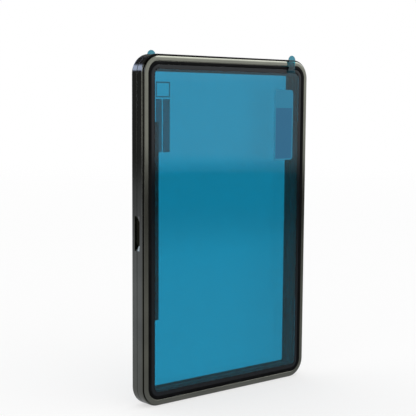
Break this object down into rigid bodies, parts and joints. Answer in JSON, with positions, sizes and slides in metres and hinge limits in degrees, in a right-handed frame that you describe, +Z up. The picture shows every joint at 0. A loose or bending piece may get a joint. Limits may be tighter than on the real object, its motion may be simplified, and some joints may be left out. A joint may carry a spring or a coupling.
{
  "type": "graded card protector case",
  "caption": "Slim metal-framed display case that closes round a graded card slab, with clear windows, magnetic halves, a pry notch and blue peel-off films.",
  "frame": {"origin": "middle of the bottom edge, at the level the case stands on, on the parting plane of the halves", "axes": "+Z up along the case's height, -Y out of the front window, +X to the right seen from the front"},
  "size_m": [0.097, 0.0096, 0.1519],
  "materials": {
    "metal_gray": "satin grey anodised metal",
    "black_rubber": "matte black soft rubber",
    "black_print": "glossy black border",
    "black_foam": "black foam bonding tape",
    "clear_acrylic": "clear polished acrylic",
    "blue_film": "glossy translucent blue film",
    "nickel": "nickel-plated magnet"
  },
  "bodies": {
    "front_half": {"front_frame": "metal_gray", "front_left_magnet_1": "nickel", "front_left_magnet_2": "nickel", "front_left_magnet_3": "nickel", "front_left_magnet_4": "nickel", "front_right_magnet_1": "nickel", "front_right_magnet_2": "nickel", "front_right_magnet_3": "nickel", "front_right_magnet_4": "nickel", "front_bottom_magnet": "nickel", "front_top_magnet": "nickel", "front_panel": "clear_acrylic", "front_panel_tape": "black_foam", "front_window_seal": "black_rubber", "front_border_mask": "black_print", "front_liner": "black_rubber", "front_left_pad": "black_rubber", "front_right_pad": "black_rubber"},
    "front_film": {"front_film": "blue_film"},
    "rear_half": {"rear_frame": "metal_gray", "rear_left_magnet_1": "nickel", "rear_left_magnet_2": "nickel", "rear_left_magnet_3": "nickel", "rear_left_magnet_4": "nickel", "rear_right_magnet_1": "nickel", "rear_right_magnet_2": "nickel", "rear_right_magnet_3": "nickel", "rear_right_magnet_4": "nickel", "rear_bottom_magnet": "nickel", "rear_top_magnet": "nickel", "rear_panel": "clear_acrylic", "rear_panel_tape": "black_foam", "rear_window_seal": "black_rubber", "rear_border_mask": "black_print", "rear_liner": "black_rubber", "rear_left_pad": "black_rubber", "rear_right_pad": "black_rubber"},
    "rear_film": {"rear_film": "blue_film"}
  },
  "joints": [
    {"name": "front_half_lift", "type": "slide", "parent": "rear_half", "child": "front_half", "axis": [0, -1, 0], "range_m": [0, 0.06]},
    {"name": "front_film_peel", "type": "slide", "parent": "front_half", "child": "front_film", "axis": [0, -1, 0], "range_m": [0, 0.03]},
    {"name": "rear_film_peel", "type": "slide", "parent": "rear_half", "child": "rear_film", "axis": [0, 1, 0], "range_m": [0, 0.03]}
  ]
}
